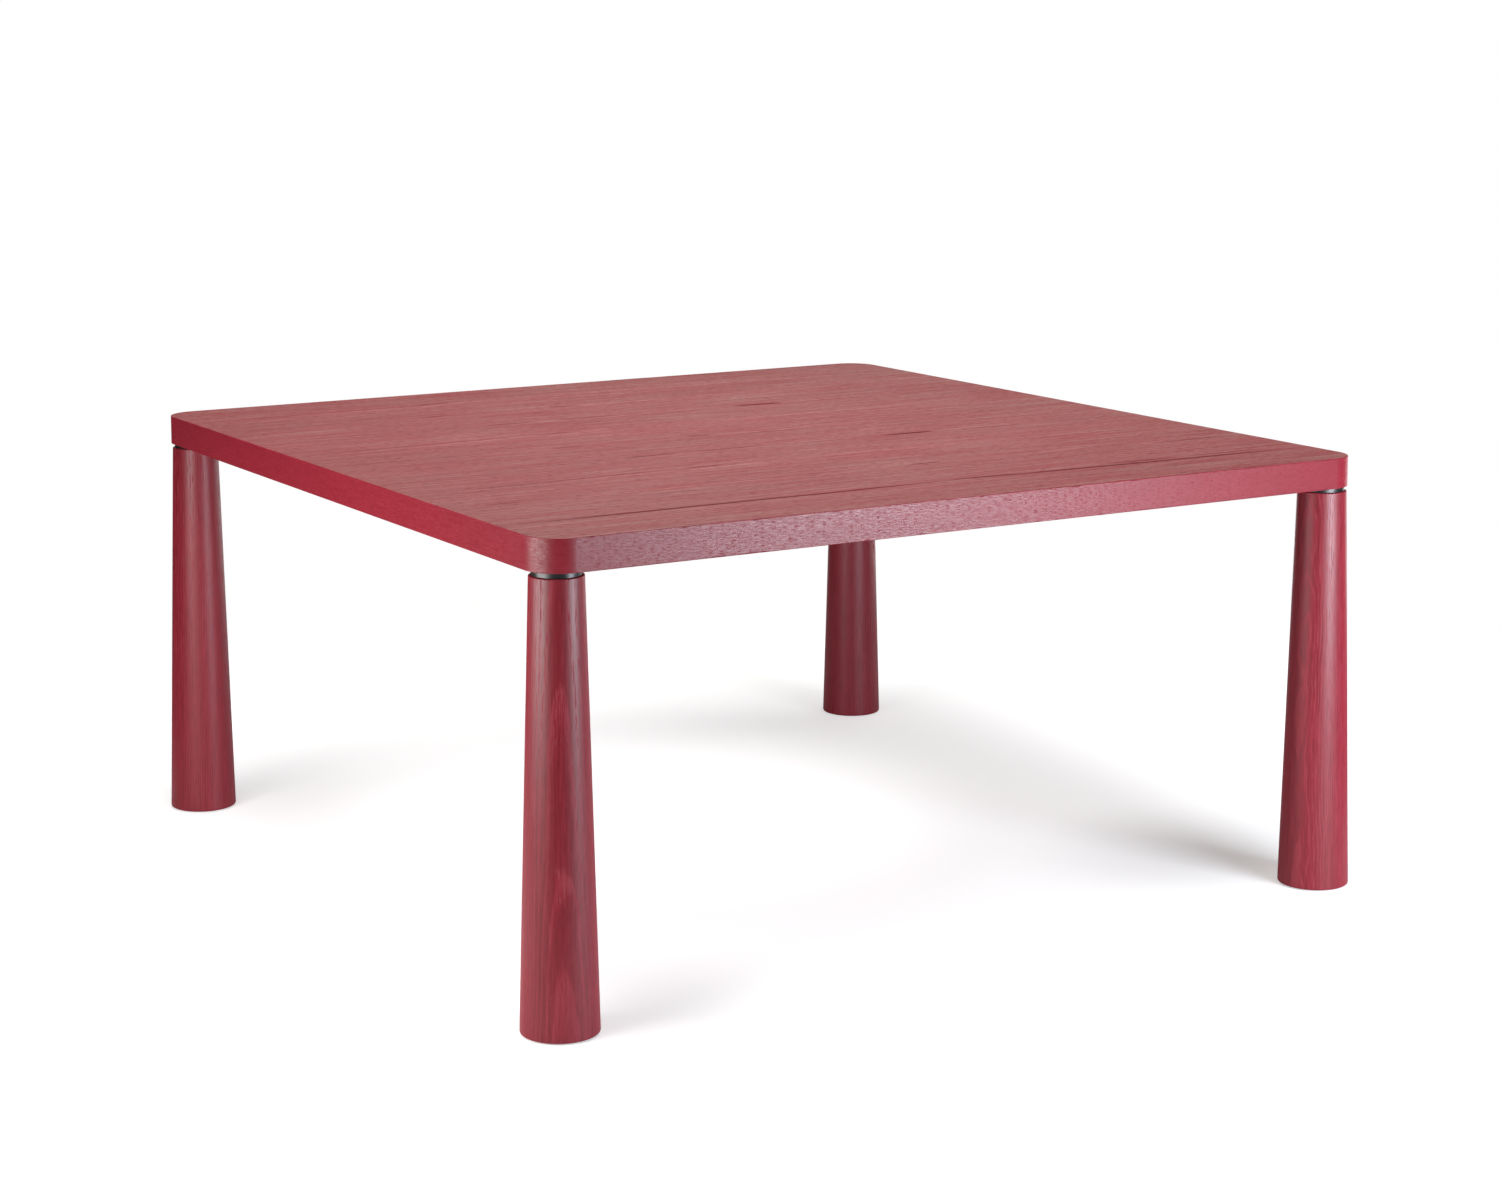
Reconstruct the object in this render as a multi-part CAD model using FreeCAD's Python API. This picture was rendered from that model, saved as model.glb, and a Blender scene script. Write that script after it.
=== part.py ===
import FreeCAD, Part
import os
from math import cos, pi, sin

# Square table. Origin on the floor under the middle of the top, +Z up, +X along the grain of the top,
# the front side towards -Y. All lengths are in millimetres.

# Overall form
table_side = 1500.0
table_height = 720.0
slab_thickness = 50.0
slab_corner_radius = 55.0
slab_arris_radius = 1.2

# Face leaves, edge bands and skins of the slab
leaf_count = 10
leaf_thickness = 2.0
underside_veneer_thickness = 2.0
edge_band_thickness = 2.0
skin_thickness = 8.0

# Frame inside the slab
rail_width = 60.0
batten_width = 40.0
batten_count = 4
corner_block_side = 130.0

# Legs
leg_inset = 45.0  # slab edge to leg axis
leg_head_radius = 40.0
leg_foot_radius = 58.0
leg_head_rounding = 1.5
leg_foot_rounding = 3.0

# Steel disc between slab and leg, with the stud that holds the leg
disc_radius = 36.0
disc_thickness = 8.0
disc_chamfer = 0.6
stud_radius = 6.0
stud_reach = 35.0  # below the disc
stud_chamfer = 1.0
leg_sleeve_wall = 3.0
leg_sleeve_length = 40.0

# Countersunk screws that hold each disc to the slab
screws_per_disc = 4
screw_circle_radius = 25.0
screw_length = 40.0
screw_shank_radius = 2.5
screw_head_radius = 4.8
screw_head_height = 2.6
screw_tip_length = 4.0
screw_socket_radius = 1.7  # corner of the hexagon
screw_socket_depth = 1.5

# Levelling foot, swivelling on its threaded stem
foot_show = 2.0  # floor to leg, foot fully home
base_radius = 25.0
pad_margin = 1.0  # base edge to pad edge
pad_thickness = 1.5
base_height = 6.0
base_chamfer = 1.5
base_floor = 1.2
flange_radius = 7.5
flange_thickness = 2.0
neck_radius = 4.0
hexagon_radius = 8.0  # corner of the hexagon
hexagon_height = 5.0
thread_radius = 5.0
thread_length = 32.0
thread_chamfer = 0.8
foot_sleeve_wall = 3.0
foot_sleeve_length = 25.0
recess_clearance = 3.0
stem_hole_clearance = 0.5
stem_end_clearance = 3.0

# Clearances
fit_gap = 0.05  # round pieces in their holes
body_gap = 0.3  # pieces that move past each other
overrun = 1.0  # cuts past a face

# Heights and places worked out from the sizes above
half_side = table_side / 2
slab_low = table_height - slab_thickness
lower_skin_low = slab_low + underside_veneer_thickness
core_low = lower_skin_low + skin_thickness
leaf_low = table_height - leaf_thickness
core_high = leaf_low - skin_thickness
core_half = half_side - edge_band_thickness
rail_inner = core_half - rail_width
block_inner = core_half - corner_block_side
disc_low = slab_low - disc_thickness
leg_place = half_side - leg_inset
base_top = pad_thickness + base_height
hexagon_low = base_top + body_gap
hexagon_top = hexagon_low + hexagon_height
recess_top = hexagon_top + body_gap
stem_top = hexagon_top + thread_length

corners = {
    "front_left": (-leg_place, -leg_place),
    "front_right": (leg_place, -leg_place),
    "rear_left": (-leg_place, leg_place),
    "rear_right": (leg_place, leg_place),
}
nodes = {}


def cylinder(radius, low, high):
    return Part.makeCylinder(radius, high - low, FreeCAD.Vector(0, 0, low))


def cone(low_radius, high_radius, low, high):
    return Part.makeCone(low_radius, high_radius, high - low, FreeCAD.Vector(0, 0, low))


def box(low_corner, high_corner):
    size = [high - low for low, high in zip(low_corner, high_corner)]
    return Part.makeBox(*size, FreeCAD.Vector(*low_corner))


def polygon_prism(points, low, high):
    outline = [FreeCAD.Vector(x, y, low) for x, y in points]
    face = Part.Face(Part.makePolygon(outline + outline[:1]))
    return face.extrude(FreeCAD.Vector(0, 0, high - low))


def hexagon_prism(radius, low, high):
    turns = [side * pi / 3 for side in range(6)]
    return polygon_prism([(radius * cos(turn), radius * sin(turn)) for turn in turns], low, high)


def slab_prism(inset, low, high):
    # The slab's outline, drawn in by inset.
    half = half_side - inset
    block = box((-half, -half, low), (half, half, high))
    upright = [edge for edge in block.Edges if edge.BoundBox.ZLength > edge.BoundBox.DiagonalLength / 2]
    return block.makeFillet(slab_corner_radius - inset, upright)


def level_edges(shape, height):
    # The edges that lie flat at one height.
    return [edge for edge in shape.Edges
            if abs(edge.BoundBox.ZMin - height) < fit_gap and abs(edge.BoundBox.ZMax - height) < fit_gap]


def at_each_corner(shape):
    return [shape.translated(FreeCAD.Vector(x, y, 0)) for x, y in corners.values()]


def at_each_screw(shape):
    # Copies of a shape around one disc.
    turns = [(place + 0.5) * 2 * pi / screws_per_disc for place in range(screws_per_disc)]
    return [shape.translated(FreeCAD.Vector(screw_circle_radius * cos(turn), screw_circle_radius * sin(turn), 0))
            for turn in turns]


def screw():
    tip_low = disc_low + screw_length - screw_tip_length
    head = cone(screw_head_radius, screw_shank_radius, disc_low, disc_low + screw_head_height)
    shank = cylinder(screw_shank_radius, disc_low + screw_head_height, tip_low)
    tip = cone(screw_shank_radius, 0, tip_low, tip_low + screw_tip_length)
    socket = hexagon_prism(screw_socket_radius, disc_low - overrun, disc_low + screw_socket_depth)
    return head.fuse([shank, tip]).cut(socket)


def screw_hole():
    # The room that one screw needs, with the clearance all round.
    shank = cylinder(screw_shank_radius + fit_gap, disc_low - overrun, disc_low + screw_length + fit_gap)
    head = cone(screw_head_radius + fit_gap, screw_shank_radius + fit_gap, disc_low, disc_low + screw_head_height)
    return shank.fuse(head)


def all_screw_holes():
    return [hole for copy in at_each_screw(screw_hole()) for hole in at_each_corner(copy)]


def make_face_leaves():
    face = slab_prism(0, leaf_low, table_height)
    face = face.makeFillet(slab_arris_radius, level_edges(face, table_height))
    width = table_side / leaf_count
    for place in range(leaf_count):
        low = place * width - half_side
        strip = box((-half_side, low, leaf_low), (half_side, low + width, table_height))
        nodes[f"top_leaf_{place + 1:02d}"] = face.common(strip)


def make_underside_veneer():
    veneer = slab_prism(0, slab_low, lower_skin_low)
    veneer = veneer.makeFillet(slab_arris_radius, level_edges(veneer, slab_low))
    nodes["underside_veneer"] = veneer.cut(all_screw_holes())


def make_edge_bands():
    ring = slab_prism(0, lower_skin_low, leaf_low).cut(slab_prism(edge_band_thickness, lower_skin_low, leaf_low))
    wedge = polygon_prism([(0, 0), (-half_side, -half_side), (half_side, -half_side)], lower_skin_low, leaf_low)
    for turn, side in enumerate(["front", "right", "rear", "left"]):
        quarter = wedge.copy()
        quarter.rotate(FreeCAD.Vector(0, 0, 0), FreeCAD.Vector(0, 0, 1), turn * 90)
        nodes[f"edge_band_{side}"] = ring.common(quarter)


def make_skins():
    nodes["upper_skin"] = slab_prism(edge_band_thickness, core_high, leaf_low)
    nodes["lower_skin"] = slab_prism(edge_band_thickness, lower_skin_low, core_low).cut(all_screw_holes())


def make_core_frame():
    rail = box((-block_inner, -core_half, core_low), (block_inner, -rail_inner, core_high))
    for turn, side in enumerate(["front", "right", "rear", "left"]):
        turned = rail.copy()
        turned.rotate(FreeCAD.Vector(0, 0, 0), FreeCAD.Vector(0, 0, 1), turn * 90)
        nodes[f"core_rail_{side}"] = turned
    pitch = 2 * rail_inner / (batten_count + 1)
    for place in range(batten_count):
        low = (place + 1) * pitch - rail_inner - batten_width / 2
        batten = box((-rail_inner, low, core_low), (rail_inner, low + batten_width, core_high))
        nodes[f"core_batten_{place + 1}"] = batten


def make_corner_blocks():
    outline = slab_prism(edge_band_thickness, core_low, core_high)
    block = box((block_inner, block_inner, core_low), (core_half, core_half, core_high))
    for turn, corner in enumerate(["rear_right", "rear_left", "front_left", "front_right"]):
        turned = block.copy()
        turned.rotate(FreeCAD.Vector(0, 0, 0), FreeCAD.Vector(0, 0, 1), turn * 90)
        nodes[f"corner_block_{corner}"] = outline.common(turned).cut(all_screw_holes())


def make_discs():
    disc = cylinder(disc_radius, disc_low, slab_low)
    disc = disc.makeChamfer(disc_chamfer, level_edges(disc, disc_low) + level_edges(disc, slab_low))
    disc = disc.cut(cylinder(stud_radius + fit_gap, disc_low - overrun, slab_low + overrun))
    disc = disc.cut(at_each_screw(screw_hole()))
    for corner, placed in zip(corners, at_each_corner(disc)):
        nodes[f"leg_disc_{corner}"] = placed
    screws = [copy for place in at_each_screw(screw()) for copy in at_each_corner(place)]
    nodes["disc_screws"] = Part.makeCompound(screws)


def make_studs():
    low = disc_low - stud_reach
    stud = cylinder(stud_radius, low, slab_low)
    stud = stud.makeChamfer(stud_chamfer, level_edges(stud, low))
    nodes["leg_studs"] = Part.makeCompound(at_each_corner(stud))
    sleeve_low = disc_low - leg_sleeve_length
    sleeve = cylinder(stud_radius + fit_gap + leg_sleeve_wall, sleeve_low, disc_low)
    sleeve = sleeve.cut(cylinder(stud_radius + fit_gap, sleeve_low - overrun, disc_low + overrun))
    nodes["leg_sleeves"] = Part.makeCompound(at_each_corner(sleeve))


def make_legs():
    leg = cone(leg_foot_radius, leg_head_radius, foot_show, disc_low)
    leg = leg.makeFillet(leg_foot_rounding, level_edges(leg, foot_show))
    leg = leg.makeFillet(leg_head_rounding, level_edges(leg, disc_low))
    head_hole_radius = stud_radius + leg_sleeve_wall + 2 * fit_gap
    foot_hole_radius = thread_radius + foot_sleeve_wall + 2 * fit_gap
    holes = [
        cylinder(head_hole_radius, disc_low - leg_sleeve_length, disc_low + overrun),
        cylinder(base_radius + recess_clearance, foot_show - overrun, recess_top),
        cylinder(foot_hole_radius, recess_top - overrun, recess_top + foot_sleeve_length),
        cylinder(thread_radius + stem_hole_clearance, recess_top, stem_top + stem_end_clearance),
    ]
    leg = leg.cut(holes)
    for corner, placed in zip(corners, at_each_corner(leg)):
        nodes[f"leg_{corner}"] = placed


def make_foot_sleeves():
    top = recess_top + foot_sleeve_length
    sleeve = cylinder(thread_radius + fit_gap + foot_sleeve_wall, recess_top, top)
    sleeve = sleeve.cut(cylinder(thread_radius + fit_gap, recess_top - overrun, top + overrun))
    nodes["foot_sleeves"] = Part.makeCompound(at_each_corner(sleeve))


def make_feet():
    pad = cylinder(base_radius - pad_margin, 0, pad_thickness)
    pocket_low = pad_thickness + base_floor
    pocket_top = pocket_low + flange_thickness + 2 * body_gap
    base = cylinder(base_radius, pad_thickness, base_top)
    base = base.makeChamfer(base_chamfer, level_edges(base, base_top))
    base = base.cut([cylinder(flange_radius + body_gap, pocket_low, pocket_top),
                     cylinder(neck_radius + fit_gap, pocket_low, base_top + overrun)])
    flange_low = pocket_low + body_gap
    thread = cylinder(thread_radius, hexagon_top, stem_top)
    thread = thread.makeChamfer(thread_chamfer, level_edges(thread, stem_top))
    stem = cylinder(flange_radius, flange_low, flange_low + flange_thickness)
    stem = stem.fuse([cylinder(neck_radius, flange_low, hexagon_low),
                      hexagon_prism(hexagon_radius, hexagon_low, hexagon_top), thread]).removeSplitter()
    for kind, shape in [("pad", pad), ("base", base), ("stem", stem)]:
        for corner, placed in zip(corners, at_each_corner(shape)):
            nodes[f"foot_{kind}_{corner}"] = placed


make_face_leaves()
make_underside_veneer()
make_edge_bands()
make_skins()
make_core_frame()
make_corner_blocks()
make_discs()
make_studs()
make_legs()
make_foot_sleeves()
make_feet()

os.makedirs("parts", exist_ok=True)
for name, shape in nodes.items():
    shape.exportStep(f"parts/{name}.step")
print(len(nodes), "nodes written")
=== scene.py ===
import math
import bmesh
import bpy
from mathutils import Matrix, Vector


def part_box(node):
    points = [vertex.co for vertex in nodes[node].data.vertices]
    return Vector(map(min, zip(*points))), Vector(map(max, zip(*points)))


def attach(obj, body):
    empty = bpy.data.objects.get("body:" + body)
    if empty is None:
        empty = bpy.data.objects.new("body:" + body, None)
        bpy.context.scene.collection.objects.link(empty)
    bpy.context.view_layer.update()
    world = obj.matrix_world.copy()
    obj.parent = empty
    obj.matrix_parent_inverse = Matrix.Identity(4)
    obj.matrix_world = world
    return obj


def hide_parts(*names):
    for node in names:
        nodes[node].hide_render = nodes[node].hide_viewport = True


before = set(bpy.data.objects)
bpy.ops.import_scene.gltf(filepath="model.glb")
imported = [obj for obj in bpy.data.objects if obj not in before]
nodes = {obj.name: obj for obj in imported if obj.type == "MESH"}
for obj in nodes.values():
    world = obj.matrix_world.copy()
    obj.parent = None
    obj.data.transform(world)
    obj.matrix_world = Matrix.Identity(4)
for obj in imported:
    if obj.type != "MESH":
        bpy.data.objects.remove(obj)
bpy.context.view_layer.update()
print("frame loaded:", len(nodes), "nodes")

corners = ("front_left", "front_right", "rear_left", "rear_right")
sides = ("front", "right", "rear", "left")
centre = (0.0, 0.0, 0.0)
noiseRange = (0.3, 0.7)   # nearly all values of a noise texture lie between these
noiseMiddle = 0.5


def atCorners(stem):
    return [stem + corner for corner in corners]


def legAxis(corner):
    low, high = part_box("leg_" + corner)
    return (low.x + high.x) / 2, (low.y + high.y) / 2


# node helpers

def clearTree(holder):  # an empty node tree for a material or the world
    holder.use_nodes = True
    holder.node_tree.nodes.clear()
    return holder.node_tree


def put(tree, kind, inputs=None, **settings):  # one shader node with its settings, values and links
    made = tree.nodes.new("ShaderNode" + kind)
    for name, value in settings.items():
        setattr(made, name, value)
    for key, value in (inputs or {}).items():
        if isinstance(value, bpy.types.NodeSocket):
            tree.links.new(value, made.inputs[key])
        else:
            made.inputs[key].default_value = value
    return made


def calc(tree, operation, *values, clamp=False):
    return put(tree, "Math", dict(enumerate(values)), operation=operation, use_clamp=clamp).outputs[0]


def fade(tree, value, start, end, low=0.0, high=1.0):  # eased step from start to end
    sockets = {"Value": value, "From Min": start, "From Max": end, "To Min": low, "To Max": high}
    return put(tree, "MapRange", sockets, interpolation_type="SMOOTHSTEP").outputs[0]


def spread(tree, value, low, high):  # a noise value laid out from low to high
    start, end = noiseRange
    sockets = {"Value": value, "From Min": start, "From Max": end, "To Min": low, "To Max": high}
    return put(tree, "MapRange", sockets, clamp=True).outputs[0]


def distance(tree, vector, spot):
    return put(tree, "VectorMath", {0: vector, 1: spot}, operation="DISTANCE").outputs["Value"]


def stretch(tree, vector, scale, shift=(0.0, 0.0, 0.0)):
    return put(tree, "Mapping", {"Vector": vector, "Scale": scale, "Location": shift}).outputs[0]


def move(tree, vector, shift):
    return stretch(tree, vector, (1.0, 1.0, 1.0), shift)


def noise(tree, vector, detail=2.0, roughness=0.5):
    sockets = {"Vector": vector, "Scale": 1.0, "Detail": detail, "Roughness": roughness}
    return put(tree, "TexNoise", sockets).outputs[0]


def blendColour(tree, factor, first, second):
    return put(tree, "Mix", {0: factor, 6: first, 7: second}, data_type="RGBA").outputs[2]


def colourRamp(tree, value, stops):  # stops: (place, colour)
    ramp = put(tree, "ValToRGB", {0: value})
    elements = ramp.color_ramp.elements
    while len(elements) < len(stops):
        elements.new(0.5)
    for element, (place, colour) in zip(elements, stops):
        element.position = place
        element.color = colour
    return ramp.outputs[0]


def bump(tree, height, depth, below=None):  # depth in metres for a height of 1
    sockets = {"Height": height, "Distance": depth, "Strength": 1.0}
    if below is not None:
        sockets["Normal"] = below
    return put(tree, "Bump", sockets).outputs[0]


def mixShaders(tree, factor, first, second):
    return put(tree, "MixShader", {0: factor, 1: first, 2: second}).outputs[0]


def newMaterial(name):
    material = bpy.data.materials.new(name)
    tree = clearTree(material)
    shader = put(tree, "BsdfPrincipled")
    tree.links.new(shader.outputs[0], put(tree, "OutputMaterial").inputs[0])
    place = put(tree, "TexCoord").outputs["Object"]
    return material, tree, shader, place


def join(tree, shader, **sockets):  # value or link into the shader's sockets, _ for a space
    for name, value in sockets.items():
        socket = shader.inputs[name.replace("_", " ")]
        if isinstance(value, bpy.types.NodeSocket):
            tree.links.new(value, socket)
        else:
            socket.default_value = value


def dress(material, *names):
    for name in names:
        nodes[name].data.materials.clear()
        nodes[name].data.materials.append(material)


# stained oak: one stain and lacquer over three cuts of the wood

stain = {
    "dark": (0.120, 0.0050, 0.0110, 1.0),    # late wood
    "middle": (0.265, 0.0155, 0.0295, 1.0),
    "light": (0.380, 0.0440, 0.0650, 1.0),   # fibres that took less stain
    "ior": 1.5,
    "roughness": 0.42,
    "diffuseRoughness": 0.7,
}
# In each cut, fibre, fleck, pore and cloud are the scales of its noises, fine across the grain and drawn
# out along it, and a Shift keeps one from lying like another. tone is where the wood starts from the dark
# stain at 0 to the light one at 1, and fibreTone, fleckTone and cloudTone how far each moves it either way.


def cutNoises(tree, place, cut):
    fibre = noise(tree, stretch(tree, place, cut["fibre"]), detail=3.0, roughness=0.6)
    fleck = noise(tree, stretch(tree, place, cut["fleck"], cut["fleckShift"]), detail=1.0)
    pore = noise(tree, stretch(tree, place, cut["pore"], cut["poreShift"]), detail=1.0)
    cloud = noise(tree, stretch(tree, place, cut["cloud"]))
    return fibre, fleck, pore, cloud


def varyTone(tree, tone, cut, fibre, fleck, cloud):
    for value, reach in ((fibre, cut["fibreTone"]), (fleck, cut["fleckTone"]), (cloud, cut["cloudTone"])):
        tone = calc(tree, "ADD", tone, spread(tree, value, -reach, reach))
    return tone


def finishStained(tree, shader, cut, tone, pores, fibre, shine):
    colours = ((0.0, stain["dark"]), (0.5, stain["middle"]), (1.0, stain["light"]))
    filled = calc(tree, "MULTIPLY", pores, cut["poreStain"])
    colour = blendColour(tree, filled, colourRamp(tree, tone, colours), cut["poreColour"])
    gloss = spread(tree, shine, stain["roughness"] - cut["shine"], stain["roughness"] + cut["shine"])
    duller = cut["poreRoughness"] - stain["roughness"]
    gloss = calc(tree, "MULTIPLY_ADD", pores, duller, gloss, clamp=True)
    sheen = calc(tree, "MULTIPLY_ADD", pores, cut["poreSheen"] - cut["sheen"], cut["sheen"])
    grooves = bump(tree, calc(tree, "SUBTRACT", 1.0, pores), cut["poreDepth"])
    surface = bump(tree, fibre, cut["fibreDepth"], grooves)
    join(tree, shader, Base_Color=colour, Roughness=gloss, Normal=surface, IOR=stain["ior"],
         Specular_IOR_Level=sheen, Diffuse_Roughness=stain["diffuseRoughness"])


# face leaves: x runs along the grain, y across it

faceCut = {
    "repeat": 0.45,              # three leaves cut one after another show the same figure again
    "slip": 0.03,                # each set is laid this much further along
    "nearLimit": -0.36,          # nearer than this lie the leaves with the near streaks
    "broaden": 1.7,              # the streaks' widths below times this
    "ends": 0.3,                 # share of a streak's length in which it fades, at either end
    "strokes": (0.55, 1.25),     # a streak is a string of short strokes, weak and strong
    "figureTone": 0.55,          # weight of the streaks, and how much more the pale ones get
    "paleTone": 0.5,
    "paleShine": -0.5,           # pale streaks are smoother
    "bend": (7.0, 3.0, 1.0),
    "waver": 0.007,              # how far the streaks wander across the grain
    "line": (4.5, 170.0, 60.0),
    "lineShift": (2.3, 5.9, 0.0),
    "lineTone": 0.08,
    "fibre": (14.0, 330.0, 60.0),
    "fibreTone": 0.12,
    "fibreDepth": 0.000015,
    "fleck": (45.0, 380.0, 60.0),
    "fleckShift": (0.0, 0.0, 0.0),
    "fleckTone": 0.13,
    "cloud": (1.1, 11.0, 1.0),
    "cloudTone": 0.07,
    "tone": 0.5,
    "shine": 0.10,
    "sheen": 0.40,
    "pore": (60.0, 700.0, 60.0),
    "poreShift": (3.1, 7.7, 0.0),
    "poreLimits": (0.54, 0.72),  # pores open where the noise rises from the first to the second
    "poreShare": 0.6,
    "poreColour": (0.140, 0.0085, 0.0160, 1.0),
    "poreStain": 0.6,
    "poreRoughness": 0.90,
    "poreSheen": 0.22,
    "poreDepth": 0.00005,
}
# streaks of the figure: start and end along the grain, place across at each, width, tone (dark below 0)
setStreaks = (
    (-0.73, -0.43, 0.010, 0.010, 0.0030, -0.30),
    (-0.35, -0.28, 0.005, 0.005, 0.0035, -0.45),
    (-0.09, -0.03, 0.011, 0.006, 0.0040, -0.55),
    (-0.04, 0.07, 0.011, -0.003, 0.0030, 0.60),
    (0.06, 0.18, -0.003, 0.007, 0.0030, 0.50),
    (0.00, 0.14, -0.010, -0.011, 0.0030, -0.40),
    (0.17, 0.34, -0.002, 0.010, 0.0025, 0.30),
    (0.50, 0.60, 0.008, 0.006, 0.0030, -0.35),
    (-0.30, -0.18, -0.147, -0.147, 0.0030, -0.60),
    (-0.17, -0.02, -0.147, -0.148, 0.0030, -0.60),
    (-0.28, 0.02, -0.157, -0.158, 0.0040, 0.25),
    (0.01, 0.16, -0.143, -0.153, 0.0025, 0.45),
    (0.03, 0.15, -0.150, -0.158, 0.0025, -0.40),
    (0.20, 0.32, -0.150, -0.153, 0.0048, -1.00),
    (0.25, 0.315, -0.153, -0.153, 0.0030, -0.80),
    (0.31, 0.50, -0.147, -0.153, 0.0025, 0.55),
    (0.36, 0.51, -0.156, -0.163, 0.0025, -0.60),
    (0.52, 0.75, -0.163, -0.161, 0.0030, -0.35),
    (-0.72, -0.31, 0.145, 0.158, 0.0025, -0.50),
    (-0.56, -0.31, 0.137, 0.147, 0.0060, 0.30),
    (-0.30, -0.21, 0.157, 0.161, 0.0030, -0.60),
    (-0.31, -0.13, 0.138, 0.156, 0.0030, 0.50),
    (-0.14, 0.65, 0.157, 0.153, 0.0025, 0.38),
)
nearStreaks = (  # at the joints of the front leaves, which come from another log
    (-0.69, -0.62, -0.444, -0.444, 0.0030, -0.35),
    (-0.59, -0.14, -0.454, -0.445, 0.0025, 0.45),
    (-0.32, -0.03, -0.442, -0.440, 0.0025, -0.35),
    (0.06, 0.13, -0.444, -0.444, 0.0035, -0.70),
    (0.32, 0.43, -0.443, -0.440, 0.0025, 0.35),
    (0.49, 0.63, -0.452, -0.454, 0.0025, 0.35),
    (0.53, 0.73, -0.459, -0.457, 0.0030, -0.60),
    (-0.80, 0.10, -0.614, -0.609, 0.0046, -1.00),
    (0.04, 0.75, -0.609, -0.629, 0.0050, -0.95),
    (0.02, 0.17, -0.604, -0.607, 0.0045, -0.70),
    (0.33, 0.50, -0.598, -0.604, 0.0040, -0.65),
    (0.49, 0.67, -0.601, -0.606, 0.0035, -0.50),
    (-0.56, -0.18, -0.634, -0.632, 0.0060, 0.18),
)


def addStreaks(tree, streaks, along, across, total):  # adds up the tone of all streaks at a point
    for start, end, placeStart, placeEnd, width, tone in streaks:
        slope = (placeEnd - placeStart) / (end - start)
        middle = calc(tree, "MULTIPLY_ADD", along, slope, placeStart - slope * start)
        away = calc(tree, "ABSOLUTE", calc(tree, "SUBTRACT", across, middle))
        profile = fade(tree, away, width * faceCut["broaden"], 0.0, 0.0, tone)
        ease = faceCut["ends"] * (end - start)
        opening = fade(tree, along, start, start + ease)
        closing = fade(tree, along, end, end - ease)
        window = calc(tree, "MULTIPLY", opening, closing)
        total = calc(tree, "MULTIPLY_ADD", profile, window, total)
    return total


def makeFaceWood():
    material, tree, shader, place = newMaterial("stainedOakFace")
    placeX, placeY = put(tree, "SeparateXYZ", {0: place}).outputs[:2]
    repeat = faceCut["repeat"]
    lap = calc(tree, "FLOOR", calc(tree, "DIVIDE", calc(tree, "ADD", placeY, repeat / 2), repeat))
    across = calc(tree, "MULTIPLY_ADD", lap, -repeat, placeY)
    along = calc(tree, "MULTIPLY_ADD", lap, faceCut["slip"], placeX)
    bend = noise(tree, stretch(tree, place, faceCut["bend"]), detail=3.0)
    waver = calc(tree, "MULTIPLY", calc(tree, "SUBTRACT", bend, noiseMiddle), faceCut["waver"])
    fibre, fleck, pore, cloud = cutNoises(tree, place, faceCut)
    line = noise(tree, stretch(tree, place, faceCut["line"], faceCut["lineShift"]))
    near = calc(tree, "LESS_THAN", placeY, faceCut["nearLimit"])
    figure = addStreaks(tree, setStreaks, along, calc(tree, "ADD", across, waver), 0.0)
    figure = calc(tree, "MULTIPLY", figure, calc(tree, "SUBTRACT", 1.0, near))
    figure = addStreaks(tree, nearStreaks, placeX, calc(tree, "ADD", placeY, waver), figure)
    figure = calc(tree, "MULTIPLY", figure, spread(tree, fleck, *faceCut["strokes"]))
    pale = calc(tree, "MAXIMUM", figure, 0.0)
    tone = calc(tree, "MULTIPLY_ADD", figure, faceCut["figureTone"], faceCut["tone"])
    tone = calc(tree, "MULTIPLY_ADD", pale, faceCut["paleTone"], tone)
    tone = calc(tree, "ADD", tone, spread(tree, line, -faceCut["lineTone"], faceCut["lineTone"]))
    tone = varyTone(tree, tone, faceCut, fibre, fleck, cloud)
    pores = fade(tree, pore, *faceCut["poreLimits"], 0.0, faceCut["poreShare"])
    pores = calc(tree, "MAXIMUM", pores, calc(tree, "MULTIPLY", figure, -1.0), clamp=True)
    shine = calc(tree, "MULTIPLY_ADD", pale, faceCut["paleShine"], line)
    finishStained(tree, shader, faceCut, tone, pores, fibre, shine)
    return material


# edge bands: long grain that runs level round the slab

bandCut = {
    "fibre": (12.0, 12.0, 420.0),
    "fibreTone": 0.06,
    "fibreDepth": 0.000015,
    "fleck": (60.0, 60.0, 900.0),
    "fleckShift": (1.3, 4.1, 0.0),
    "fleckTone": 0.05,
    "cloud": (1.6, 1.6, 22.0),
    "cloudTone": 0.04,
    "tone": 0.5,
    "shine": 0.08,
    "sheen": 0.40,
    "pore": (105.0, 105.0, 1700.0),
    "poreShift": (5.1, 2.7, 0.0),
    "poreLimits": (0.52, 0.68),
    "poreShare": 0.8,
    "poreColour": (0.165, 0.0100, 0.0190, 1.0),
    "poreStain": 0.5,
    "poreRoughness": 0.70,
    "poreSheen": 0.22,
    "poreDepth": 0.00003,
}


def makeBandWood():
    material, tree, shader, place = newMaterial("stainedOakBand")
    fibre, fleck, pore, cloud = cutNoises(tree, place, bandCut)
    tone = varyTone(tree, bandCut["tone"], bandCut, fibre, fleck, cloud)
    pores = fade(tree, pore, *bandCut["poreLimits"], 0.0, bandCut["poreShare"])
    finishStained(tree, shader, bandCut, tone, pores, fibre, fleck)
    return material


# legs: each is turned from its own blank, so the rings lie another way in each

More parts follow.
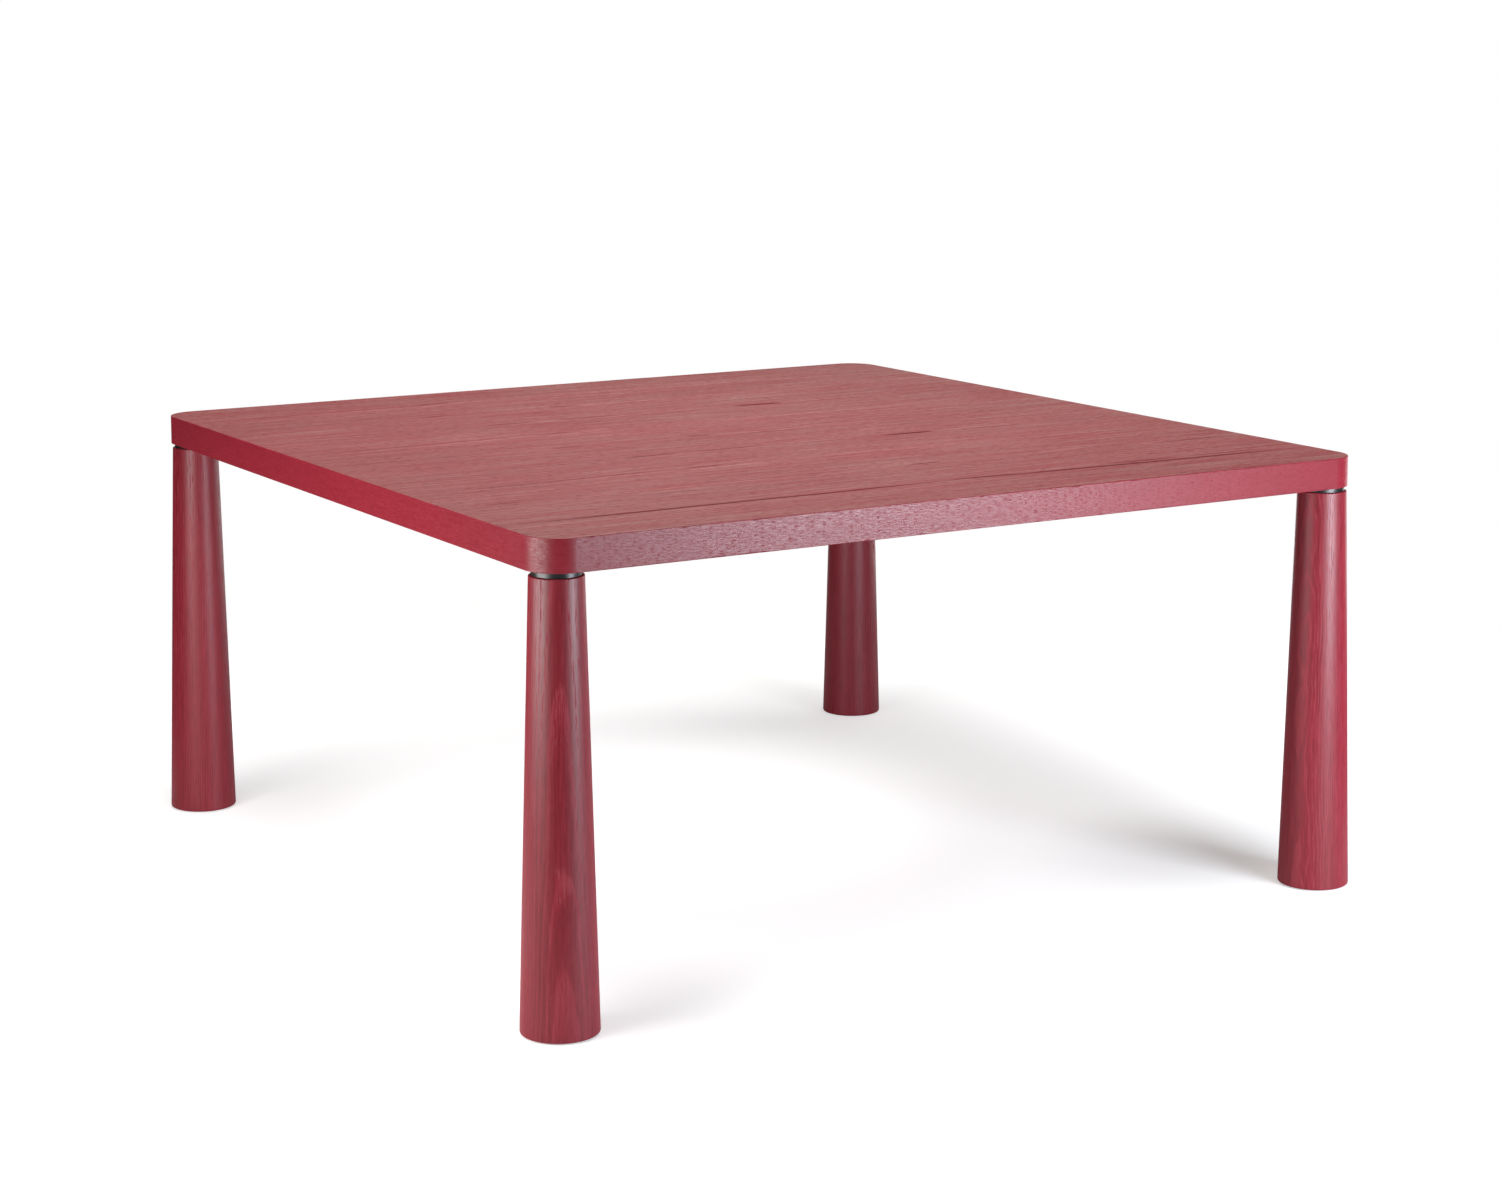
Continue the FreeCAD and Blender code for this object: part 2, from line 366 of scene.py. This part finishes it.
legCut = {
    "apart": 3.7,              # the noises of one leg start this far from the last one's
    "early": (0.12, 0.55),     # where in a ring the porous early wood is full, and where it ends
    "earlyTone": 0.21,         # early wood is lighter than late wood by this
    "tone": 0.33,
    "fibre": (330.0, 330.0, 9.0),
    "fibreTone": 0.11,
    "fibreDepth": 0.000015,
    "fleck": (400.0, 400.0, 40.0),
    "fleckShift": (0.0, 0.0, 0.0),
    "fleckTone": 0.07,
    "cloud": (16.0, 16.0, 1.2),
    "cloudTone": 0.05,
    "shine": 0.06,
    "sheen": 0.46,
    "pore": (520.0, 520.0, 54.0),
    "poreShift": (0.0, 0.0, 0.0),
    "poreLimit": 0.67,         # pores open where the noise is higher: seldom in late wood
    "earlyPores": -0.22,       # and often in early wood, where the limit is lower by this
    "poreEdge": 7.0,           # how fast a pore deepens above the limit
    "poreColour": (0.310, 0.0480, 0.0700, 1.0),
    "poreStain": 0.50,
    "poreRoughness": 0.85,
    "poreSheen": 0.43,
    "poreDepth": 0.00004,
}
# heart of the tree from the leg's own axis, its lean along the leg, width of a ring, how far rings wander
legBlanks = {
    "front_left": {"heart": (0.09, 0.24), "lean": (-0.004, -0.012),
                   "ring": 0.0046, "waver": 0.018, "bend": (9.0, 9.0, 2.2)},
    "front_right": {"heart": (0.24, 0.07), "lean": (-0.020, -0.006),
                    "ring": 0.0028, "waver": 0.026, "bend": (9.0, 9.0, 4.0)},
    "rear_left": {"heart": (0.24, -0.10), "lean": (-0.014, 0.016),
                  "ring": 0.0040, "waver": 0.014, "bend": (9.0, 9.0, 2.6)},
    "rear_right": {"heart": (-0.20, 0.22), "lean": (0.016, 0.010),
                   "ring": 0.0036, "waver": 0.016, "bend": (9.0, 9.0, 3.0)},
}


def makeLegWood(corner):
    blank = legBlanks[corner]
    axisX, axisY = legAxis(corner)
    material, tree, shader, place = newMaterial("stainedOakLeg_" + corner)
    own = move(tree, place, (-axisX, -axisY, 0.0))
    ownX, ownY, ownZ = put(tree, "SeparateXYZ", {0: own}).outputs
    apart = legCut["apart"] * corners.index(corner)
    shifted = move(tree, own, (apart, apart, apart))
    bend = noise(tree, stretch(tree, shifted, blank["bend"]), detail=3.0)
    acrossX = calc(tree, "MULTIPLY_ADD", ownZ, blank["lean"][0], ownX)
    acrossY = calc(tree, "MULTIPLY_ADD", ownZ, blank["lean"][1], ownY)
    acrossX = calc(tree, "SUBTRACT", acrossX, blank["heart"][0])
    acrossY = calc(tree, "SUBTRACT", acrossY, blank["heart"][1])
    square = calc(tree, "MULTIPLY_ADD", acrossX, acrossX, calc(tree, "MULTIPLY", acrossY, acrossY))
    radius = calc(tree, "MULTIPLY_ADD", bend, blank["waver"], calc(tree, "SQRT", square))
    ring = calc(tree, "FRACT", calc(tree, "DIVIDE", radius, blank["ring"]))
    full, end = legCut["early"]
    early = calc(tree, "MULTIPLY", fade(tree, ring, 0.0, full), fade(tree, ring, end, full))
    fibre, fleck, pore, cloud = cutNoises(tree, shifted, legCut)
    poreLimit = calc(tree, "MULTIPLY_ADD", early, legCut["earlyPores"], legCut["poreLimit"])
    above = calc(tree, "SUBTRACT", pore, poreLimit)
    pores = calc(tree, "MULTIPLY", above, legCut["poreEdge"], clamp=True)
    tone = calc(tree, "MULTIPLY_ADD", early, legCut["earlyTone"], legCut["tone"])
    tone = varyTone(tree, tone, legCut, fibre, fleck, cloud)
    finishStained(tree, shader, legCut, tone, pores, fibre, fibre)
    return material


# coated, plated and moulded parts: depth of the grain in metres, roughness from and to

discCoat = {
    "colour": ((0.010, 0.011, 0.011, 1.0), (0.018, 0.020, 0.020, 1.0)),
    "grain": (900.0, 900.0, 900.0),
    "cloud": (30.0, 30.0, 30.0),
    "depth": 0.00002,
    "roughness": (0.30, 0.42),
}
zincPlate = {
    "colour": ((0.50, 0.51, 0.52, 1.0), (0.66, 0.66, 0.64, 1.0)),
    "grain": (1400.0, 1400.0, 1400.0),
    "cloud": (160.0, 160.0, 90.0),
    "depth": 0.00001,
    "roughness": (0.24, 0.40),
}
footNylon = {
    "colour": ((0.022, 0.022, 0.023, 1.0), (0.036, 0.036, 0.037, 1.0)),
    "grain": (1800.0, 1800.0, 1800.0),
    "cloud": (60.0, 60.0, 60.0),
    "depth": 0.00004,
    "roughness": (0.45, 0.6),
}
padRubber = {
    "colour": ((0.026, 0.026, 0.027, 1.0), (0.050, 0.049, 0.047, 1.0)),
    "grain": (1200.0, 1200.0, 1200.0),
    "cloud": (90.0, 90.0, 90.0),
    "depth": 0.00006,
    "roughness": (0.7, 0.9),
}
boardFibre = {
    "colour": ((0.30, 0.20, 0.115, 1.0), (0.46, 0.335, 0.21, 1.0)),
    "grain": (700.0, 700.0, 700.0),
    "cloud": (420.0, 420.0, 420.0),
    "depth": 0.00012,
    "roughness": (0.78, 0.92),
}


def makeCoated(name, values, metallic=0.0):
    material, tree, shader, place = newMaterial(name)
    grain = noise(tree, stretch(tree, place, values["grain"]))
    cloud = noise(tree, stretch(tree, place, values["cloud"]), detail=3.0)
    colour = colourRamp(tree, cloud, tuple(zip(noiseRange, values["colour"])))
    gloss = spread(tree, cloud, *values["roughness"])
    surface = bump(tree, grain, values["depth"])
    join(tree, shader, Base_Color=colour, Roughness=gloss, Metallic=metallic, Normal=surface)
    return material


frameTimber = {  # pale softwood
    "light": (0.62, 0.42, 0.22, 1.0),
    "dark": (0.42, 0.235, 0.10, 1.0),
    "lengthways": 0.03,        # scale of the whole pattern along the grain
    "bend": (22.0, 22.0, 22.0),
    "bendDepth": 0.02,
    "ringWidth": 0.006,
    "ringSlope": 0.35,
    "lateStart": (0.35, 0.9),  # in a ring the late wood darkens slowly and ends at once
    "lateEnd": (1.0, 0.93),
    "lateTone": 0.7,
    "fibre": (300.0, 300.0, 300.0),
    "fibreTone": 0.35,
    "depth": 0.00010,
    "roughness": (0.6, 0.8),
}


def makeTimber(name, grainAxis):  # grainAxis is 0 for x and 1 for y
    scale = [1.0, 1.0, 1.0]
    scale[grainAxis] = frameTimber["lengthways"]
    material, tree, shader, place = newMaterial(name)
    squeezed = stretch(tree, place, scale)
    bend = noise(tree, stretch(tree, squeezed, frameTimber["bend"]))
    split = put(tree, "SeparateXYZ", {0: squeezed}).outputs
    height = calc(tree, "MULTIPLY_ADD", bend, frameTimber["bendDepth"], split["Z"])
    depth = calc(tree, "MULTIPLY_ADD", split[1 - grainAxis], frameTimber["ringSlope"], height)
    ring = calc(tree, "FRACT", calc(tree, "DIVIDE", depth, frameTimber["ringWidth"]))
    darkening = fade(tree, ring, *frameTimber["lateStart"])
    late = calc(tree, "MULTIPLY", darkening, fade(tree, ring, *frameTimber["lateEnd"]))
    fibre = noise(tree, stretch(tree, squeezed, frameTimber["fibre"]), detail=3.0)
    tone = calc(tree, "MULTIPLY", late, frameTimber["lateTone"])
    tone = calc(tree, "MULTIPLY_ADD", fibre, frameTimber["fibreTone"], tone, clamp=True)
    colour = blendColour(tree, tone, frameTimber["light"], frameTimber["dark"])
    gloss = spread(tree, fibre, *frameTimber["roughness"])
    surface = bump(tree, fibre, frameTimber["depth"])
    join(tree, shader, Base_Color=colour, Roughness=gloss, Normal=surface)
    return material


faceWood = makeFaceWood()
bandWood = makeBandWood()
legWood = {corner: makeLegWood(corner) for corner in corners}
dress(faceWood, "underside_veneer", *[name for name in nodes if name.startswith("top_leaf")])
dress(bandWood, *["edge_band_" + side for side in sides])
for corner in corners:
    dress(legWood[corner], "leg_" + corner)
print("stained oak done")

dress(makeCoated("blackCoating", discCoat), *atCorners("leg_disc_"))
dress(makeCoated("zincPlating", zincPlate, metallic=1.0), "disc_screws", "leg_studs", "leg_sleeves",
      "foot_sleeves", *atCorners("foot_stem_"))
dress(makeCoated("blackNylon", footNylon), *atCorners("foot_base_"))
dress(makeCoated("padRubber", padRubber), *atCorners("foot_pad_"))
dress(makeCoated("boardFibre", boardFibre), "upper_skin", "lower_skin")
dress(makeTimber("frameTimberX", 0), "core_rail_front", "core_rail_rear", *atCorners("corner_block_"),
      *[name for name in nodes if name.startswith("core_batten")])
dress(makeTimber("frameTimberY", 1), "core_rail_left", "core_rail_right")
print("coatings, platings and core done")


# edge bands and legs with finer rounds than their CAD nodes

meshLimits = {
    "merge": 0.000005,   # points closer than this are one
    "cut": 1e-7,         # points this close to a cut lie on it
    "sharp": 0.6,        # edges that turn by more, in radians, stay sharp
}
edgeBands = {
    "radius": 0.055,
    "thickness": 0.002,
    "steps": 96,
    "flatEnd": 0.002,    # from the round to a loop of edges that keeps the flat stretch's shading flat
}
legShape = {
    "headRadius": 0.040,
    "footRadius": 0.058,
    "headRounding": 0.0015,
    "footRounding": 0.0030,
    "roundingSteps": 8,
    "headLoop": 1.3,     # loops this many roundings from either end keep the flank's shading straight
    "footLoop": 1.2,
    "steps": 80,
    "headHole": (0.0091, 0.622),      # radius and height of its floor
    "recess": (0.028, 0.0131),        # for the levelling foot: radius and height of its roof
    "sleeveHole": (0.0081, 0.0381),
    "threadHole": (0.0055, 0.0478),
}


def finishPiece(shape, name, node, material):
    bmesh.ops.remove_doubles(shape, verts=shape.verts[:], dist=meshLimits["merge"])
    bmesh.ops.recalc_face_normals(shape, faces=shape.faces[:])
    for face in shape.faces:
        face.smooth = True
    for edge in shape.edges:
        edge.smooth = len(edge.link_faces) == 2 and edge.calc_face_angle() < meshLimits["sharp"]
    mesh = bpy.data.meshes.new(name)
    shape.to_mesh(mesh)
    shape.free()
    mesh.materials.append(material)
    piece = bpy.data.objects.new(name, mesh)
    bpy.context.scene.collection.objects.link(piece)
    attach(piece, "table")
    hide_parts(node)


def cutAcross(shape, point, direction, clear=False):  # adds a loop of edges, or drops the side ahead
    whole = shape.verts[:] + shape.edges[:] + shape.faces[:]
    bmesh.ops.bisect_plane(shape, geom=whole, dist=meshLimits["cut"], plane_co=point, plane_no=direction,
                           clear_outer=clear)


def makeEdgeBands():
    low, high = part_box("edge_band_front")
    half = -low.y
    ring = bmesh.new()
    bmesh.ops.create_grid(ring, x_segments=1, y_segments=1, size=half)
    bmesh.ops.bevel(ring, geom=ring.verts[:], offset=edgeBands["radius"], affect="VERTICES",
                    segments=edgeBands["steps"], profile=0.5, material=-1)
    bmesh.ops.delete(ring, geom=ring.faces[:], context="FACES_ONLY")
    raised = bmesh.ops.extrude_edge_only(ring, edges=ring.edges[:])["geom"]
    rim = [part for part in raised if isinstance(part, bmesh.types.BMVert)]
    bmesh.ops.translate(ring, verts=rim, vec=(0.0, 0.0, high.z - low.z))
    bmesh.ops.translate(ring, verts=ring.verts[:], vec=(0.0, 0.0, low.z))
    bmesh.ops.recalc_face_normals(ring, faces=ring.faces[:])
    bmesh.ops.solidify(ring, geom=ring.faces[:], thickness=edgeBands["thickness"])
    straight = half - edgeBands["radius"] - edgeBands["flatEnd"]
    for place in (-straight, straight):
        cutAcross(ring, (place, 0.0, 0.0), (1.0, 0.0, 0.0))
        cutAcross(ring, (0.0, place, 0.0), (0.0, 1.0, 0.0))
    for turn, side in enumerate(sides):
        band = ring.copy()
        for quarters in (turn + 0.5, turn + 1.5):  # mitred in the middle of the corner at either end
            angle = quarters * math.pi / 2
            cutAcross(band, centre, (math.cos(angle), math.sin(angle), 0.0), clear=True)
        bmesh.ops.holes_fill(band, edges=[edge for edge in band.edges if edge.is_boundary], sides=0)
        finishPiece(band, "edgeBand_" + side, "edge_band_" + side, bandWood)
    ring.free()


def makeLeg(corner):
    low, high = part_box("leg_" + corner)
    footCorner = (legShape["footRadius"], low.z)
    headCorner = (legShape["headRadius"], high.z)
    holeRadius, holeFloor = legShape["headHole"]
    outline = [(0.0, legShape["threadHole"][1])]
    holes = [legShape["threadHole"], legShape["sleeveHole"], legShape["recess"], (0.0, low.z)]
    for (radius, roof), (_, roofBelow) in zip(holes, holes[1:]):
        outline += [(radius, roof), (radius, roofBelow)]
    outline += [footCorner, headCorner, (holeRadius, high.z), (holeRadius, holeFloor), (0.0, holeFloor)]
    leg = bmesh.new()
    points = {(radius, height): leg.verts.new((radius, 0.0, height)) for radius, height in outline}
    leg.faces.new(list(points.values()))
    for spot, rounding in ((footCorner, legShape["footRounding"]), (headCorner, legShape["headRounding"])):
        bmesh.ops.bevel(leg, geom=[points[spot]], offset=rounding, affect="VERTICES",
                        segments=legShape["roundingSteps"], profile=0.5, material=-1)
    bmesh.ops.delete(leg, geom=leg.faces[:], context="FACES_ONLY")
    axis = [edge for edge in leg.edges if all(abs(point.co.x) < meshLimits["merge"] for point in edge.verts)]
    bmesh.ops.delete(leg, geom=axis, context="EDGES")
    bmesh.ops.spin(leg, geom=leg.verts[:] + leg.edges[:], cent=centre, axis=(0.0, 0.0, 1.0),
                   angle=2 * math.pi, steps=legShape["steps"], use_merge=True)
    footLoop = low.z + legShape["footRounding"] * legShape["footLoop"]
    headLoop = high.z - legShape["headRounding"] * legShape["headLoop"]
    for height in (footLoop, headLoop):
        cutAcross(leg, (0.0, 0.0, height), (0.0, 0.0, 1.0))
    halfStep = Matrix.Rotation(math.pi / legShape["steps"], 3, "Z")
    bmesh.ops.rotate(leg, verts=leg.verts[:], cent=centre, matrix=halfStep)  # flats lie at the box's sides
    bmesh.ops.translate(leg, verts=leg.verts[:], vec=(*legAxis(corner), 0.0))
    finishPiece(leg, "turnedLeg_" + corner, "leg_" + corner, legWood[corner])


makeEdgeBands()
for corner in corners:
    makeLeg(corner)
print("edge bands and legs made")


# studio

studio = {
    "backYaw": 0.55,          # the backdrop's brightest side, from +Y towards +X
    "back": 1.5,              # light of the backdrop and of the open side
    "front": 0.08,
    "tint": (1.0, 0.97, 0.83, 1.0),
    "falloff": 17.0,
    "white": (1.0, 1.0, 1.0, 1.0),
    "floorSize": 60.0,
    "floorNear": 1.2,         # the camera sees the floor lit up to here and plain white from floorFar on
    "floorFar": 2.6,
    "floorSeen": (0.80, 0.80, 0.80, 1.0),      # the floor as the camera sees it
    "floorColour": (0.65, 0.65, 0.65, 1.0),    # the floor as it lights the table from below
    "floorOuter": (0.15, 0.15, 0.15, 1.0),     # beyond the table it throws less light back
    "outerReach": (1.15, 1.7),
    "paintedFloorGlow": (0.82, 0.55),                 # painted light: the glow is stronger under the table, lifting the slab's shadow, than outside its feet
    "paintedLightMiddle": (-0.05, 0.30, 0.0),
    "glowReach": (0.30, 0.72),
    "paintedFootShades": ((-0.56, -0.72, 0.0), (0.64, -0.50, 0.0)),   # painted shade: the floor's glow is lowered beside the two near feet
    "paintedShadeReach": 0.38,
    "paintedShadeDepth": 0.24,
}


def backwardShare(tree, vector):  # 0 on the open side, 1 at the backdrop's brightest side
    facing = (math.sin(studio["backYaw"]), math.cos(studio["backYaw"]), 0.0)
    along = put(tree, "VectorMath", {0: vector, 1: facing}, operation="DOT_PRODUCT").outputs["Value"]
    return calc(tree, "POWER", calc(tree, "MAXIMUM", along, 0.0), studio["falloff"])


def makeWorld():
    world = bpy.data.worlds.new("studioWorld")
    tree = clearTree(world)
    direction = put(tree, "TexCoord").outputs["Generated"]
    ray = put(tree, "LightPath").outputs
    share = backwardShare(tree, direction)
    level = calc(tree, "MULTIPLY_ADD", share, studio["back"] - studio["front"], studio["front"])
    plain = calc(tree, "MAXIMUM", ray["Is Camera Ray"], ray["Is Transmission Ray"])
    level = calc(tree, "MULTIPLY_ADD", level, calc(tree, "SUBTRACT", 1.0, plain), plain)
    light = put(tree, "Background", {0: blendColour(tree, plain, studio["tint"], studio["white"]), 1: level})
    tree.links.new(light.outputs[0], put(tree, "OutputWorld").inputs[0])
    bpy.context.scene.world = world


def paintedFloorGlow(tree, place):  # painted light and shade: the glow is stronger under the table, weaker outside the feet, and lowered beside the near ones as their painted shade
    under = distance(tree, place, studio["paintedLightMiddle"])
    level = fade(tree, under, *studio["glowReach"], *studio["paintedFloorGlow"])
    for spot in studio["paintedFootShades"]:
        aside = distance(tree, place, spot)
        # painted shade: the glow drops towards this near foot
        paintedShade = fade(tree, aside, studio["paintedShadeReach"], 0.0, 0.0, studio["paintedShadeDepth"])
        level = calc(tree, "SUBTRACT", level, paintedShade)
    return put(tree, "Emission", {0: studio["white"], 1: level}).outputs[0]


def makeFloor():
    bpy.ops.mesh.primitive_plane_add(size=studio["floorSize"])
    floor = bpy.context.object
    floor.name = "studioFloor"
    material = bpy.data.materials.new("studioFloor")
    tree = clearTree(material)
    place = put(tree, "TexCoord").outputs["Object"]
    ray = put(tree, "LightPath").outputs
    away = distance(tree, place, centre)
    far = fade(tree, away, studio["floorNear"], studio["floorFar"])
    outer = fade(tree, away, *studio["outerReach"])
    thrown = blendColour(tree, outer, studio["floorColour"], studio["floorOuter"])
    lit = put(tree, "BsdfDiffuse", {0: thrown}).outputs[0]
    seenLit = put(tree, "BsdfDiffuse", {0: studio["floorSeen"]}).outputs[0]
    seenNear = put(tree, "AddShader", {0: seenLit, 1: paintedFloorGlow(tree, place)}).outputs[0]
    white = put(tree, "Emission", {0: studio["white"]}).outputs[0]
    seen = mixShaders(tree, far, seenNear, white)
    outward = put(tree, "VectorMath", {0: place}, operation="NORMALIZE").outputs[0]
    backFar = calc(tree, "MULTIPLY", far, backwardShare(tree, outward))
    mirrored = mixShaders(tree, backFar, lit, white)
    glossy = calc(tree, "MAXIMUM", ray["Is Glossy Ray"], ray["Is Transmission Ray"])
    others = mixShaders(tree, glossy, lit, mirrored)
    chosen = mixShaders(tree, ray["Is Camera Ray"], others, seen)
    tree.links.new(chosen, put(tree, "OutputMaterial").inputs[0])
    floor.data.materials.append(material)


lamps = {  # place, aim, width, height, watts, colour
    "rightSoftbox": ((0.79, -2.38, 0.60), (0.23, -0.60, 0.58), 1.02, 0.60, 58.5, (0.92, 1.0, 1.08)),
    "leftSoftbox": ((-1.90, -0.555, 0.57), (-0.60, -0.45, 0.56), 1.31, 0.60, 26.0, (1.0, 0.96, 0.95)),
    "fillSoftbox": ((2.35, 0.95, 0.36), (0.2, 0.0, 0.40), 3.00, 0.62, 15.0, (1.0, 1.0, 1.0)),
    "topSoftbox": ((-0.35, -0.25, 3.00), (-0.20, -0.20, 0.72), 2.2, 2.2, 90.0, (1.0, 1.0, 1.0)),
}


def aim(thing, target):
    direction = target - thing.location
    thing.rotation_euler = direction.to_track_quat("-Z", "Y").to_euler()


def addLamps():
    for name, (place, target, width, height, watts, colour) in lamps.items():
        light = bpy.data.lights.new(name, "AREA")
        light.shape = "RECTANGLE"
        light.size = width
        light.size_y = height
        light.energy = watts
        light.color = colour
        lamp = bpy.data.objects.new(name, light)
        lamp.location = place
        lamp.visible_camera = False
        bpy.context.scene.collection.objects.link(lamp)
        aim(lamp, Vector(target))


camera = {
    "place": (-2.5734, -4.3267, 1.4498),
    "yaw": 0.5426,
    "pitch": 0.1242,           # looking down
    "lens": 71.083,
    "sensor": 36.0,
    "shift": -0.15,
    "reach": 200.0,
}


def addCamera():
    data = bpy.data.cameras.new("camera")
    data.sensor_width = camera["sensor"]
    data.lens = camera["lens"]
    data.shift_y = camera["shift"]
    data.clip_end = camera["reach"]
    eye = bpy.data.objects.new("camera", data)
    eye.location = camera["place"]
    eye.rotation_euler = (math.pi / 2 - camera["pitch"], 0.0, -camera["yaw"])
    bpy.context.scene.collection.objects.link(eye)
    bpy.context.scene.camera = eye


makeWorld()
makeFloor()
addLamps()
addCamera()
bpy.context.scene.view_settings.view_transform = "Standard"
print("studio done")
